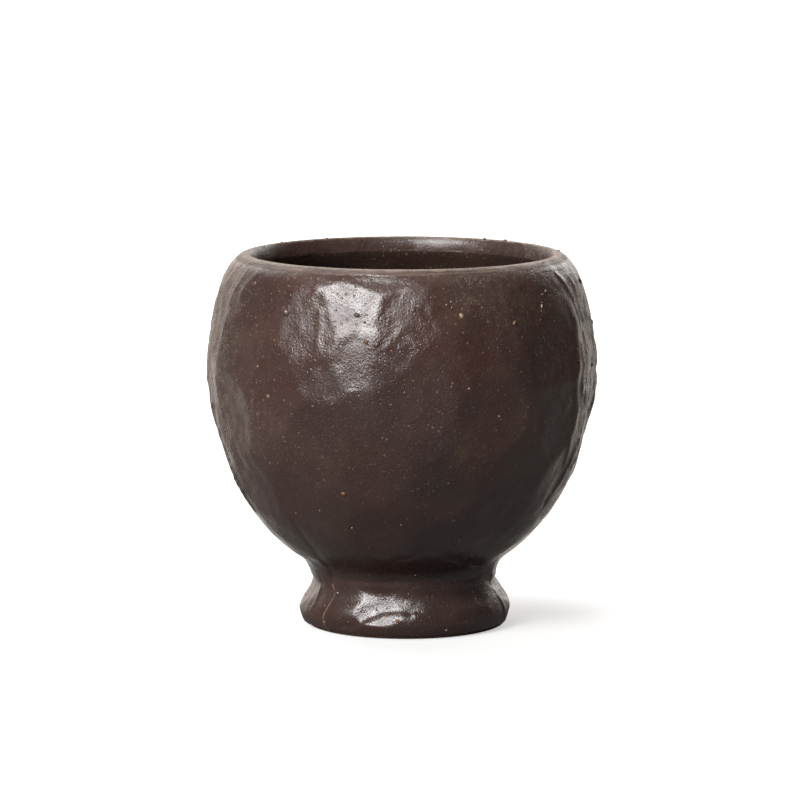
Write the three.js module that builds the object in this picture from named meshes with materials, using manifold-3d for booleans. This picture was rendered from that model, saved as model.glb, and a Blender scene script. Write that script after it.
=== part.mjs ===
// Handleless stoneware coffee cup, formed by hand.
// A beaten bowl stands on a flared foot ring bent from a clay strip. Slip joins them, and glaze coats them.
// Millimetres, Z up. The cup stands on Z = 0 with the bowl's axis at X = Y = 0, and its front faces -Y.
import * as THREE from "three";
import { mergeVertices } from "three/addons/utils/BufferGeometryUtils.js";
import Module from "manifold-3d";

const wasm = await Module();
wasm.setup();

// Overall sizes of the glazed cup.
const CUP_HEIGHT = 86.5;
const BELLY_RADIUS = 45;
const MOUTH_RADIUS = 35.6; // to the crown of the lip
const NECK_RADIUS = 21.5; // the narrowest place, between bowl and foot

// Thicknesses of the clay with its glaze, and of the thin coats.
const WALL = 4.6;
const FLOOR = 6.5;
const FOOT_WALL = 5.8;
const GLAZE = 0.5;
const SLIP = 0.5;
const CLEAR = 0.02; // keeps a coat from cutting into the clay under it

// The lip turns over a narrow crown into a short upright throat, and the wall widens again below it.
const LIP_INSET = 1.2; // from the crown in to the throat
const LIP_DEPTH = 3.4; // from the crown down to the throat

// The foot flares out below the neck and is set slightly off the bowl's axis, as a hand sets it.
const FOOT_FLARE = 2.8;
const FOOT_ROUND = 2; // how far the standing edge is rounded in
const FOOT_SET = 1; // towards +X
const GLAZE_STOP = 1; // the foot is wiped bare below this height
const WAIST = 3.1; // the wiped slip reaches this much wider than the neck

// Heights along the axis follow the cup's height.
const BELLY_HEIGHT = 0.694 * CUP_HEIGHT;
const UNDERSIDE = 0.11 * CUP_HEIGHT;
const NECK_HEIGHT = 0.127 * CUP_HEIGHT;
const FLARE_HEIGHT = 0.042 * CUP_HEIGHT;

// The strip of the foot ring closes at the front left with a bevelled seam.
const SEAM_AZIMUTH = -52;
const SEAM_BEVEL = 28;
const SEAM_WIDTH = 1.1;

// Rows of flats left by the paddle: height as a share of the cup's height, count, and turn of the first one.
const PADDLE_ROWS = [
  { share: 0.33, count: 9, turn: 6 },
  { share: 0.46, count: 11, turn: -9 },
  { share: 0.59, count: 12, turn: 4 },
  { share: 0.725, count: 12, turn: -13 },
  { share: 0.855, count: 11, turn: -16 },
];
const PADDLE_REACH = 8; // half the width of one flat

const SEGMENTS = 48;
const CURVE = 0.5523; // handle length that makes a quarter circle or ellipse

const DEGREE = Math.PI / 180;

// A smooth curve in the section, where x is the radius and y the height.
function curve(start, handleA, handleB, end) {
  const points = [start, handleA, handleB, end].map(([x, y]) => new THREE.Vector2(x, y));
  return new THREE.CubicBezierCurve(...points);
}

// Points along part of a curve, moved by a distance to its right, which is the air side of the section.
// Points of the outer wall are marked, because the paddle flattens them later.
function trace(path, steps, distance, from = 0, to = 1) {
  const points = [];
  for (let k = 0; k <= steps; k++) {
    const t = from + ((to - from) * k) / steps;
    const direction = path.getTangent(t);
    const point = path.getPoint(t);
    point.x = Math.max(0, point.x + distance * direction.y);
    point.y -= distance * direction.x;
    point.beaten = path === bowlLow || path === shoulder;
    points.push(point);
  }
  return points;
}

// The place on a rising curve where its radius ("x") or height ("y") reaches a value.
function reach(path, axis, value, distance = 0) {
  let low = 0;
  let high = 1;
  for (let k = 0; k < 50; k++) {
    const middle = (low + high) / 2;
    const [point] = trace(path, 1, distance, middle, middle);
    if (point[axis] < value) low = middle;
    else high = middle;
  }
  return low;
}

// Several runs of points as one profile, without the doubled point where two runs meet.
function joined(...runs) {
  const profile = [];
  for (const point of runs.flat()) {
    const last = profile.at(-1);
    if (!last || last.distanceTo(point) > 1e-6) profile.push(point);
  }
  return profile;
}

// The glazed surface of the bowl, from the pole of its underside, over the lip, to the middle of its floor.
const FLOOR_HEIGHT = UNDERSIDE + FLOOR;
const THROAT_RADIUS = MOUTH_RADIUS - LIP_INSET;
const THROAT_HEIGHT = CUP_HEIGHT - LIP_DEPTH;
const INNER_RADIUS = BELLY_RADIUS - WALL;
const rise = BELLY_HEIGHT - UNDERSIDE;
const topping = CUP_HEIGHT - BELLY_HEIGHT;
const throatDrop = THROAT_HEIGHT - BELLY_HEIGHT;
const innerDrop = BELLY_HEIGHT - FLOOR_HEIGHT;

const bowlLow = curve(
  [0, UNDERSIDE],
  [0.77 * BELLY_RADIUS, UNDERSIDE],
  [BELLY_RADIUS, BELLY_HEIGHT - 0.35 * rise],
  [BELLY_RADIUS, BELLY_HEIGHT],
);
const shoulder = curve(
  [BELLY_RADIUS, BELLY_HEIGHT],
  [BELLY_RADIUS, BELLY_HEIGHT + 0.353 * topping],
  [MOUTH_RADIUS + 0.65 * (BELLY_RADIUS - MOUTH_RADIUS), CUP_HEIGHT],
  [MOUTH_RADIUS, CUP_HEIGHT],
);
const lip = curve(
  [MOUTH_RADIUS, CUP_HEIGHT],
  [MOUTH_RADIUS - CURVE * LIP_INSET, CUP_HEIGHT],
  [THROAT_RADIUS, THROAT_HEIGHT + (1 - CURVE) * LIP_DEPTH],
  [THROAT_RADIUS, THROAT_HEIGHT],
);
const innerShoulder = curve(
  [THROAT_RADIUS, THROAT_HEIGHT],
  [THROAT_RADIUS, THROAT_HEIGHT - 0.1 * throatDrop],
  [INNER_RADIUS, BELLY_HEIGHT + 0.6 * throatDrop],
  [INNER_RADIUS, BELLY_HEIGHT],
);
const innerLow = curve(
  [INNER_RADIUS, BELLY_HEIGHT],
  [INNER_RADIUS, BELLY_HEIGHT - 0.42 * innerDrop],
  [0.72 * INNER_RADIUS, FLOOR_HEIGHT],
  [0, FLOOR_HEIGHT],
);

// The glazed surface of the foot: rounded standing edge, flare up to the neck, and the wiped waist.
const FOOT_RADIUS = NECK_RADIUS + FOOT_FLARE;
const flareRise = NECK_HEIGHT - FLARE_HEIGHT;
const footEdge = curve(
  [FOOT_RADIUS - FOOT_ROUND, 0],
  [FOOT_RADIUS - (1 - CURVE) * FOOT_ROUND, 0],
  [FOOT_RADIUS, (1 - CURVE) * FLARE_HEIGHT],
  [FOOT_RADIUS, FLARE_HEIGHT],
);
const flare = curve(
  [FOOT_RADIUS, FLARE_HEIGHT],
  [FOOT_RADIUS, FLARE_HEIGHT + 0.44 * flareRise],
  [NECK_RADIUS, NECK_HEIGHT - 0.4 * flareRise],
  [NECK_RADIUS, NECK_HEIGHT],
);
const edgeStop = reach(footEdge, "y", GLAZE_STOP);
const waistEnd = reach(bowlLow, "x", NECK_RADIUS + WAIST);
const waistTop = bowlLow.getPoint(waistEnd);
const waistLean = bowlLow.getTangent(waistEnd);
const waistRise = waistTop.y - NECK_HEIGHT;
const waist = curve(
  [NECK_RADIUS, NECK_HEIGHT],
  [NECK_RADIUS, NECK_HEIGHT + 0.45 * waistRise],
  [waistTop.x - 0.4 * waistRise * waistLean.x, waistTop.y - 0.4 * waistRise * waistLean.y],
  [waistTop.x, waistTop.y],
);

// How deep the paddle has flattened the wall at an angle (from the front, in radians) and height.
function paddled(angle, height) {
  let deepest = 0;
  for (const row of PADDLE_ROWS) {
    const along = height - row.share * CUP_HEIGHT;
    for (let k = 0; k < row.count; k++) {
      const drift = Math.sin(7 * k + row.count) * 0.12; // no two flats are spaced alike
      const turn = angle - row.turn * DEGREE - ((k + drift) / row.count) * 2 * Math.PI;
      const across = BELLY_RADIUS * Math.atan2(Math.sin(turn), Math.cos(turn));
      const depth = (PADDLE_REACH ** 2 - across ** 2 - along ** 2) / (2 * BELLY_RADIUS);
      deepest = Math.max(deepest, depth);
    }
  }
  const clearOfLip = THREE.MathUtils.smoothstep(CUP_HEIGHT - height, LIP_DEPTH, 3 * LIP_DEPTH);
  const clearOfWaist = THREE.MathUtils.smoothstep(height, waistTop.y, 1.4 * waistTop.y);
  return deepest * clearOfLip * clearOfWaist;
}

// How far the foot stands off the bowl's axis at a height.
function footSet(height) {
  return FOOT_SET * (1 - THREE.MathUtils.smoothstep(height, 0.5 * NECK_HEIGHT, waistTop.y));
}

// A profile turned about the axis, with the marks of the hand on it.
// Faces are split the same way whichever way the profile runs, so that pieces meet without a gap.
function turned(profile) {
  const rows = profile.length;
  const lathe = new THREE.LatheGeometry(profile, SEGMENTS);
  const position = lathe.getAttribute("position");
  const faces = [];
  for (let step = 0; step <= SEGMENTS; step++) {
    const angle = ((step % SEGMENTS) / SEGMENTS) * 2 * Math.PI;
    for (let row = 0; row < rows; row++) {
      const { x, y: height, beaten } = profile[row];
      const radius = x - (beaten ? paddled(angle, height) : 0);
      const a = step * rows + row;
      position.setXYZ(a, radius * Math.sin(angle) + footSet(height), -radius * Math.cos(angle), height);
      if (step === SEGMENTS || row === rows - 1) continue;
      const b = a + rows;
      if (profile[row + 1].y >= height) faces.push(a, b, a + 1, b + 1, a + 1, b);
      else faces.push(a, b, b + 1, a, b + 1, a + 1);
    }
  }
  lathe.setIndex(faces);
  return solid(lathe);
}

function solid(geometry) {
  geometry.deleteAttribute("normal");
  geometry.deleteAttribute("uv");
  const merged = mergeVertices(geometry, 1e-4);
  const shape = new wasm.Mesh({
    numProp: 3,
    vertProperties: merged.getAttribute("position").array,
    triVerts: new Uint32Array(merged.index.array),
  });
  return new wasm.Manifold(shape);
}

// Steps along each curve, the same for every piece that meets there.
const STEPS = { edge: 2, flare: 5, waist: 4, low: 9, shoulder: 7, lip: 3, innerShoulder: 5, innerLow: 7, seat: 3 };

// The outside from the bare standing edge to the throat, at a distance from the glazed surface.
function outside(distance) {
  return joined(
    trace(footEdge, STEPS.edge, distance, edgeStop),
    trace(flare, STEPS.flare, distance),
    trace(waist, STEPS.waist, distance),
    trace(bowlLow, STEPS.low, distance, waistEnd),
    trace(shoulder, STEPS.shoulder, distance),
    trace(lip, STEPS.lip, distance),
  );
}

// The inside from the throat, or just below it, to the middle of the floor.
function inside(distance, start = 0) {
  return joined(
    trace(innerShoulder, STEPS.innerShoulder, distance, start),
    trace(innerLow, STEPS.innerLow, distance),
  );
}

// Where the foot ring seats under the bowl, with a bead of slip squeezed out on the inside of the ring.
const SEAT_OUTER = NECK_RADIUS - GLAZE - 1.5;
const SEAT_INNER = NECK_RADIUS - FOOT_WALL + 0.9;
const BEAD_INNER = NECK_RADIUS - FOOT_WALL - 1.7;
const seatFrom = reach(bowlLow, "x", SEAT_INNER, SLIP - GLAZE);
const seatTo = reach(bowlLow, "x", SEAT_OUTER, SLIP - GLAZE);
const beadFrom = reach(bowlLow, "x", BEAD_INNER, -GLAZE);

// The bowl, from the pole of its underside to the middle of its floor.
const underside = joined(
  trace(bowlLow, 2, -GLAZE, 0, beadFrom),
  trace(bowlLow, STEPS.seat + 1, -GLAZE, beadFrom, waistEnd),
);
const bowlProfile = joined(
  underside,
  trace(bowlLow, STEPS.low, -GLAZE, waistEnd),
  trace(shoulder, STEPS.shoulder, -GLAZE),
  trace(lip, STEPS.lip, -GLAZE),
  inside(-GLAZE),
);
const bowl = turned(bowlProfile);

// The foot ring, up its outside, across the seat and down its inside. Both standing edges are eased.
const ringInner = NECK_RADIUS - FOOT_WALL;
const standInner = ringInner + FOOT_FLARE;
const seat = trace(bowlLow, STEPS.seat, SLIP - GLAZE, seatFrom, seatTo).reverse();
const ringTop = new THREE.Vector2(ringInner, seat.at(-1).y - 1.2);
const ringProfile = joined(
  [new THREE.Vector2(standInner, 0)],
  [new THREE.Vector2(FOOT_RADIUS - GLAZE - FOOT_ROUND, 0)],
  trace(footEdge, STEPS.edge, -GLAZE, edgeStop),
  trace(flare, STEPS.flare, -GLAZE),
  seat,
  [ringTop],
  [new THREE.Vector2(standInner - 0.9, 0.9)],
  [new THREE.Vector2(standInner, 0)],
);
const wholeRing = turned(ringProfile);

// A slanting slice through the ring becomes the slip of its seam.
const slice = new THREE.BoxGeometry(SEAM_WIDTH, 2 * FOOT_WALL, NECK_HEIGHT * 3);
slice.rotateZ(SEAM_BEVEL * DEGREE);
slice.translate(0, -(ringInner + FOOT_RADIUS) / 2, 0);
slice.rotateZ(SEAM_AZIMUTH * DEGREE);
slice.translate(FOOT_SET, 0, 0);
const seamCut = solid(slice);
const footRing = wholeRing.subtract(seamCut);
const footSeam = wholeRing.intersect(seamCut);

// The slip joint: waist outside, thin bed on the seat, and the bead inside.
const slipProfile = joined(
  [ringTop],
  [...seat].reverse(),
  trace(waist, STEPS.waist, -GLAZE),
  trace(bowlLow, STEPS.seat + 1, -GLAZE, beadFrom, waistEnd).reverse(),
  [ringTop],
);
const lutingSlip = turned(slipProfile);

// The glaze coats lie on the clay and meet at the throat.
function coat(face, back) {
  return turned(joined(face, [...back].reverse(), [face[0]]));
}
const throatGap = CLEAR / (0.3 * throatDrop);
const outerGlaze = coat(outside(0), outside(CLEAR - GLAZE));
const linerGlaze = coat(inside(0, throatGap), inside(CLEAR - GLAZE, throatGap));

function piece(name, shape, color, roughness) {
  const { vertProperties, triVerts } = shape.getMesh();
  const geometry = new THREE.BufferGeometry();
  geometry.setAttribute("position", new THREE.BufferAttribute(vertProperties, 3));
  geometry.setIndex(new THREE.BufferAttribute(triVerts, 1));
  geometry.computeVertexNormals();
  const mesh = new THREE.Mesh(geometry, new THREE.MeshStandardMaterial({ color, roughness, metalness: 0 }));
  mesh.name = name;
  return mesh;
}

const cup = new THREE.Group();
cup.name = "coffee_cup";
cup.add(
  piece("bowl", bowl, "#54382d", 0.85),
  piece("foot_ring", footRing, "#54382d", 0.85),
  piece("foot_seam", footSeam, "#7a4a36", 0.85),
  piece("luting_slip", lutingSlip, "#4c342b", 0.85),
  piece("liner_glaze", linerGlaze, "#33261f", 0.3),
  piece("outer_glaze", outerGlaze, "#44342d", 0.35),
);

export default cup;
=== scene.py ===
# %% [markdown]
# # A hand-formed stoneware coffee cup
#
# The real cup is a round bowl beaten from soft clay and set on a flared foot ring. A thin, dark brown iron glaze
# covers it inside and out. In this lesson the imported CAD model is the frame: it says where each piece is and how
# big it is. Blender adds what the eye sees: the flats of the paddle, lumps, creases, grog and the satin glaze.

# %% Load the frame
import math

import bpy
import numpy as np
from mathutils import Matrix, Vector
from mathutils.bvhtree import BVHTree


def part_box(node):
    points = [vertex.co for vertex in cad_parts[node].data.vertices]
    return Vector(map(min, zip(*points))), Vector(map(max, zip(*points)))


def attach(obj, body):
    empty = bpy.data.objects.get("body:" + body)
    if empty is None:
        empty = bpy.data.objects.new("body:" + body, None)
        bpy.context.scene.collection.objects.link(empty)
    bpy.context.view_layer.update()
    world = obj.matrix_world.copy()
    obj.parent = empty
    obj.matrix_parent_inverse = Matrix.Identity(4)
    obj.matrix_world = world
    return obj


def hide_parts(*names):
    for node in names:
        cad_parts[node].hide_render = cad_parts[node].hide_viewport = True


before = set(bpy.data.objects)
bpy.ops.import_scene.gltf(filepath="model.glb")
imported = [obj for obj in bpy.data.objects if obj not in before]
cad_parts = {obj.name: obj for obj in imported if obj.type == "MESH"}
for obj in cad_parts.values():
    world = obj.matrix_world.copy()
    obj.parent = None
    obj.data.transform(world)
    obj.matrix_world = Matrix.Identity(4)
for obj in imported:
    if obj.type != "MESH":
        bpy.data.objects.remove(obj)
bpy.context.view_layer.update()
print("CAD nodes:", sorted(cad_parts))

# %% [markdown]
# ## Sizes
#
# The overall sizes are read from the frame, so the cup you see is as big as the CAD cup. The others are the
# potter's own: how far the lip rolls in, where the neck is and how thick the wall of the foot is.

# %% Sizes of the cup
MM = 0.001
glaze_low, glaze_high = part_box("outer_glaze")
liner_low, liner_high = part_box("liner_glaze")
bowl_low, bowl_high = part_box("bowl")

CUP_HEIGHT = glaze_high.z
BELLY_RADIUS = (glaze_high.y - glaze_low.y) / 2
GLAZE = glaze_high.z - bowl_high.z
GLAZE_STOP = glaze_low.z
THROAT_HEIGHT = liner_high.z
FLOOR_HEIGHT = liner_low.z + GLAZE
UNDERSIDE = bowl_low.z - GLAZE
INNER_RADIUS = liner_high.y - GLAZE

BELLY_HEIGHT = 0.694 * CUP_HEIGHT
NECK_HEIGHT = 0.127 * CUP_HEIGHT
FLARE_HEIGHT = 0.042 * CUP_HEIGHT
MOUTH_RADIUS = 35.6 * MM
THROAT_RADIUS = 34.4 * MM
NECK_RADIUS = 21.5 * MM
FOOT_RADIUS = 24.3 * MM
FOOT_ROUND = 2 * MM
FOOT_SET = 1 * MM  # how far the foot was set to one side
FOOT_WALL = 5.8 * MM
WAIST = 3.1 * MM
print(f"cup {2000 * BELLY_RADIUS:.1f} mm wide, {1000 * CUP_HEIGHT:.1f} mm high, glaze {1000 * GLAZE:.2f} mm")

# %% [markdown]
# ## The section of the bowl
#
# A hand-built bowl is easiest to draw as a section: half of a cut through the cup, with the radius to the right
# and the height upwards. Each curve has two ends and two handles, as a Bezier curve in Blender has. The shares such
# as 0.77 say how long the handles are, and were fitted to the cup's outline. The lower bowl is drawn as one curve
# and cut where the waist ends, so that its underside and its wall run into each other.

# %% The bowl from its underside to its belly


def curve(*points):
    """Start, two handles and end of one curve, each as radius and height."""
    return [Vector(point) for point in points]


def cut_curve(whole, share):
    """Cuts a curve in two at a share of its run."""
    a, b, c, d = whole
    ab, bc, cd = a.lerp(b, share), b.lerp(c, share), c.lerp(d, share)
    abc, bcd = ab.lerp(bc, share), bc.lerp(cd, share)
    middle = abc.lerp(bcd, share)
    return [a, ab, abc, middle], [middle, bcd, cd, d]


def place_on(whole, axis, value):
    """The share of a rising curve's run where its radius (0) or height (1) reaches a value."""
    low, high = 0.0, 1.0
    for _ in range(40):
        middle = (low + high) / 2
        if cut_curve(whole, middle)[0][3][axis] < value:
            low = middle
        else:
            high = middle
    return low


rise = BELLY_HEIGHT - UNDERSIDE
whole_low = curve(
    (0, UNDERSIDE),
    (0.77 * BELLY_RADIUS, UNDERSIDE),
    (BELLY_RADIUS, BELLY_HEIGHT - 0.35 * rise),
    (BELLY_RADIUS, BELLY_HEIGHT),
)
underside, bowl_wall = cut_curve(whole_low, place_on(whole_low, 0, NECK_RADIUS + WAIST))
waist_top = bowl_wall[0]
print(f"waist ends {1000 * waist_top.y:.1f} mm up, where the bowl is {1000 * waist_top.x:.1f} mm in radius")

# %% [markdown]
# ## Shoulder, lip and inside
#
# Above its belly the wall is drawn in to the mouth, the lip rolls over to the throat, and inside the wall runs down
# to a round floor. Each curve starts where the last one ended and leaves in the same direction, so no edge shows.

# %% Shoulder, lip and inside of the section
ROUND = 0.55  # handles of this length give nearly a quarter of a circle
topping = CUP_HEIGHT - BELLY_HEIGHT
lip_depth = CUP_HEIGHT - THROAT_HEIGHT
throat_drop = THROAT_HEIGHT - BELLY_HEIGHT
inner_drop = BELLY_HEIGHT - FLOOR_HEIGHT

shoulder = curve(
    (BELLY_RADIUS, BELLY_HEIGHT),
    (BELLY_RADIUS, BELLY_HEIGHT + 0.353 * topping),
    (MOUTH_RADIUS + 0.65 * (BELLY_RADIUS - MOUTH_RADIUS), CUP_HEIGHT),
    (MOUTH_RADIUS, CUP_HEIGHT),
)
lip = curve(
    (MOUTH_RADIUS, CUP_HEIGHT),
    (MOUTH_RADIUS - ROUND * (MOUTH_RADIUS - THROAT_RADIUS), CUP_HEIGHT),
    (THROAT_RADIUS, THROAT_HEIGHT + ROUND * lip_depth),
    (THROAT_RADIUS, THROAT_HEIGHT),
)
inner_shoulder = curve(
    (THROAT_RADIUS, THROAT_HEIGHT),
    (THROAT_RADIUS, THROAT_HEIGHT - 0.1 * throat_drop),
    (INNER_RADIUS, BELLY_HEIGHT + 0.6 * throat_drop),
    (INNER_RADIUS, BELLY_HEIGHT),
)
inner_wall = curve(
    (INNER_RADIUS, BELLY_HEIGHT),
    (INNER_RADIUS, BELLY_HEIGHT - 0.42 * inner_drop),
    (0.72 * INNER_RADIUS, FLOOR_HEIGHT),
    (0, FLOOR_HEIGHT),
)
print(f"lip {1000 * lip_depth:.1f} mm deep, wall {1000 * (BELLY_RADIUS - INNER_RADIUS):.1f} mm at the belly")

# %% [markdown]
# ## Foot and waist
#
# The foot flares out below the neck and turns under in a rounded edge. The glaze stops a little above the table,
# so the edge is cut there into a bare and a glazed part. The waist is where slip was wiped round the joint, and it
# meets the bowl in the bowl's own direction.

# %% Foot and waist of the section
BEVEL = 0.4  # shorter handles than ROUND, for a flatter lower edge
flare_rise = NECK_HEIGHT - FLARE_HEIGHT
waist_rise = waist_top.y - NECK_HEIGHT
waist_lean = (bowl_wall[1] - bowl_wall[0]).normalized()

whole_edge = curve(
    (FOOT_RADIUS - FOOT_ROUND, 0),
    (FOOT_RADIUS - (1 - BEVEL) * FOOT_ROUND, 0),
    (FOOT_RADIUS, (1 - BEVEL) * FLARE_HEIGHT),
    (FOOT_RADIUS, FLARE_HEIGHT),
)
bare_edge, foot_edge = cut_curve(whole_edge, place_on(whole_edge, 1, GLAZE_STOP))
flare = curve(
    (FOOT_RADIUS, FLARE_HEIGHT),
    (FOOT_RADIUS, FLARE_HEIGHT + 0.44 * flare_rise),
    (NECK_RADIUS, NECK_HEIGHT - 0.4 * flare_rise),
    (NECK_RADIUS, NECK_HEIGHT),
)
waist = curve(
    (NECK_RADIUS, NECK_HEIGHT),
    (NECK_RADIUS, NECK_HEIGHT + 0.45 * waist_rise),
    waist_top - 0.4 * waist_rise * waist_lean,
    waist_top,
)
print(f"foot {2000 * FOOT_RADIUS:.1f} mm wide, glazed from {1000 * GLAZE_STOP:.2f} mm up")

# %% [markdown]
# ## The outer coat
#
# The coat of glaze is a thin closed shell, and it is what the eye sees. By hand, one would add a Bezier curve, pull
# its handles to the section, convert it to a mesh and spin that about the axis. A screw modifier would do it too,
# but a spin leaves a plain mesh that can be pressed and dented. The face gets many cuts, because the paddle marks
# need fine faces, and the hidden back gets few.

# %% Section of the outer coat
HIDDEN = 1.2 * MM  # how deep the unseen back of the coat lies


def cut_evenly(whole, count):
    parts = []
    for left in range(count, 1, -1):
        first, whole = cut_curve(whole, 1 / left)
        parts.append(first)
    return parts + [whole]


def inset(whole, depth):
    """The same curve a little way into the clay."""

    def to_air(direction):
        return Vector((direction.y, -direction.x)).normalized() * depth

    a, b, c, d = whole
    start, end = to_air(b - a), to_air(d - c)
    return [a - start, b - start, c - end, d - end]


def straight(a, b):
    return [a, a.lerp(b, 1 / 3), a.lerp(b, 2 / 3), b]


def shell_section(face, back):
    """A closed section: the face as it runs, then the back the other way, with straight ends."""
    back = [part[::-1] for part in reversed(back)]
    return face + [straight(face[-1][3], back[0][0])] + back + [straight(back[-1][3], face[0][0])]


face = []
for part, cuts in ((foot_edge, 2), (flare, 5), (waist, 5), (bowl_wall, 22), (shoulder, 12), (lip, 5)):
    face += cut_evenly(part, cuts)
back = [inset(foot_edge, GLAZE)]
back += [inset(part, HIDDEN) for part in (flare, waist, bowl_wall, shoulder)]
back.append(inset(lip, GLAZE))
back[1][0], back[4][3] = back[0][3], back[5][0]
outer_section = shell_section(face, back)
print("outer coat:", len(face), "cuts in its face,", len(back), "in its back")

# %% Draw it and spin it
DIVISIONS = 4  # straight steps in each cut of a curve
CRISP = math.radians(50)  # a steeper angle than this stays an edge


def draw_section(name, curves):
    """Draws a closed section upright on the X axis and makes it a mesh."""
    bpy.ops.object.select_all(action="DESELECT")
    bpy.ops.curve.primitive_bezier_curve_add(location=(0, 0, 0))
    drawn = bpy.context.object
    drawn.name = drawn.data.name = name
    drawn.data.dimensions = "3D"
    drawn.data.resolution_u = DIVISIONS
    spline = drawn.data.splines[0]
    spline.use_cyclic_u = True
    spline.bezier_points.add(len(curves) - 2)
    for k, point in enumerate(spline.bezier_points):
        before, after = curves[k - 1], curves[k]
        point.handle_left_type = point.handle_right_type = "FREE"
        point.co = (after[0].x, 0, after[0].y)
        point.handle_left = (before[2].x, 0, before[2].y)
        point.handle_right = (after[1].x, 0, after[1].y)
    bpy.ops.object.convert(target="MESH")
    return bpy.context.object


def spin_section(drawn, steps, turn=2 * math.pi):
    bpy.ops.object.mode_set(mode="EDIT")
    bpy.ops.mesh.select_mode(type="VERT")
    bpy.ops.mesh.select_all(action="SELECT")
    bpy.ops.mesh.spin(steps=steps, angle=turn, center=(0, 0, 0), axis=(0, 0, 1))
    bpy.ops.mesh.select_all(action="SELECT")
    bpy.ops.mesh.remove_doubles(threshold=0.002 * MM)
    bpy.ops.mesh.normals_make_consistent(inside=False)
    bpy.ops.object.mode_set(mode="OBJECT")
    bpy.ops.object.shade_smooth_by_angle(angle=CRISP)
    return drawn


def count_faces(piece):
    piece.data.calc_loop_triangles()
    return len(piece.data.loop_triangles)


outer_coat = spin_section(draw_section("outer_glaze_coat", outer_section), 400)
print("outer coat:", count_faces(outer_coat), "triangles")

# %% [markdown]
# ## The inner coat
#
# The liner was poured in, swirled and poured out, so it covers the inside from the throat to the floor. It is the
# same kind of shell, with fewer cuts, because the inside is smoother.

# %% Spin the inner coat
face = cut_evenly(inner_shoulder, 10) + cut_evenly(inner_wall, 16)
back = [inset(inner_shoulder, GLAZE), inset(inner_wall, GLAZE)]
inner_coat = spin_section(draw_section("liner_glaze_coat", shell_section(face, back)), 240)
print("inner coat:", count_faces(inner_coat), "triangles")

# %% [markdown]
# ## The clay bowl
#
# The bowl is bare only underneath, where the glaze was wiped off so that the cup wouldn't stick to the kiln shelf.
# There it has its true surface. Where a coat covers it, it lies deep enough for the paddle marks of that coat.

# %% Spin the bowl
UNDER_COAT = 1.5 * MM
UNDER_LIP = 0.56 * MM
bowl_section = [inset(underside, GLAZE)]
for part, depth in (
    (bowl_wall, UNDER_COAT),
    (shoulder, UNDER_COAT),
    (lip, UNDER_LIP),
    (inner_shoulder, UNDER_LIP),
    (inner_wall, UNDER_LIP),
):
    deeper = inset(part, depth)
    if (deeper[0] - bowl_section[-1][3]).length > 0.01 * MM:
        bowl_section.append(straight(bowl_section[-1][3], deeper[0]))
    bowl_section += cut_evenly(deeper, 5)
bowl_section = cut_evenly(bowl_section[0], 8) + bowl_section[1:]
bowl_section.append(straight(bowl_section[-1][3], bowl_section[0][0]))
bowl_body = spin_section(draw_section("bowl_clay_body", bowl_section), 160)
print("bowl:", count_faces(bowl_body), "triangles")

# %% [markdown]
# ## The foot ring
#
# The foot was made from a strip of clay, bent to a ring and closed with slip. So its section isn't spun all the way
# round: a narrow gap is left for the seam, and the two open ends are filled.

# %% Section of the foot ring
RING_INNER = NECK_RADIUS - FOOT_WALL
STAND_INNER = 18.5 * MM
CHAMFER = 0.9 * MM
SLIP = 0.5 * MM


def seat_point(radius):
    """A place on the seat of the ring, a slip's thickness below the bowl."""
    return cut_curve(inset(underside, GLAZE - SLIP), place_on(underside, 0, radius))[0][3]


def line(*points):
    points = [Vector(point) for point in points]
    return [straight(a, b) for a, b in zip(points, points[1:])]


seat_outer, seat_inner = seat_point(NECK_RADIUS - 2 * MM), seat_point(RING_INNER + 0.9 * MM)
ring_top = Vector((RING_INNER, seat_inner.y - 1.2 * MM))
stand_edge = Vector((STAND_INNER - CHAMFER, CHAMFER))
ring_edge, ring_shelf, ring_flare = inset(bare_edge, 0.12 * MM), inset(foot_edge, 0.62 * MM), inset(flare, UNDER_COAT)
ring_section = (
    line((STAND_INNER, 0), ring_edge[0])
    + cut_evenly(ring_edge, 2)
    + line(ring_edge[3], ring_shelf[0])
    + [ring_shelf]
    + line(ring_shelf[3], ring_flare[0])
    + [ring_flare]
    + line(ring_flare[3], seat_outer, seat_inner, ring_top)
    + cut_evenly(straight(ring_top, stand_edge), 4)
    + line(stand_edge, (STAND_INNER, 0))
)
print(f"foot ring: {len(ring_section)} curves, its seat {1000 * seat_inner.y:.1f} mm up")

# %% Spin it with a gap and fill its ends
SEAM_TURN = math.radians(0.8)


def close_ends():
    bpy.ops.object.mode_set(mode="EDIT")
    bpy.ops.mesh.select_all(action="DESELECT")
    bpy.ops.mesh.select_mode(type="EDGE")
    bpy.ops.mesh.select_non_manifold()
    bpy.ops.mesh.fill_holes(sides=0)
    bpy.ops.mesh.select_all(action="SELECT")
    bpy.ops.mesh.normals_make_consistent(inside=False)
    bpy.ops.object.mode_set(mode="OBJECT")


foot_ring = spin_section(draw_section("foot_ring_body", ring_section), 180, 2 * math.pi - SEAM_TURN)
close_ends()
print("foot ring:", count_faces(foot_ring), "triangles")

# %% [markdown]
# ## The slip in the seam
#
# The slip that closes the ring shows as a pale line, because the glaze drew back from it. It fills the gap, and its
# outer face stands a few hundredths of a millimetre proud, so that it lies on the glaze.

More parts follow.
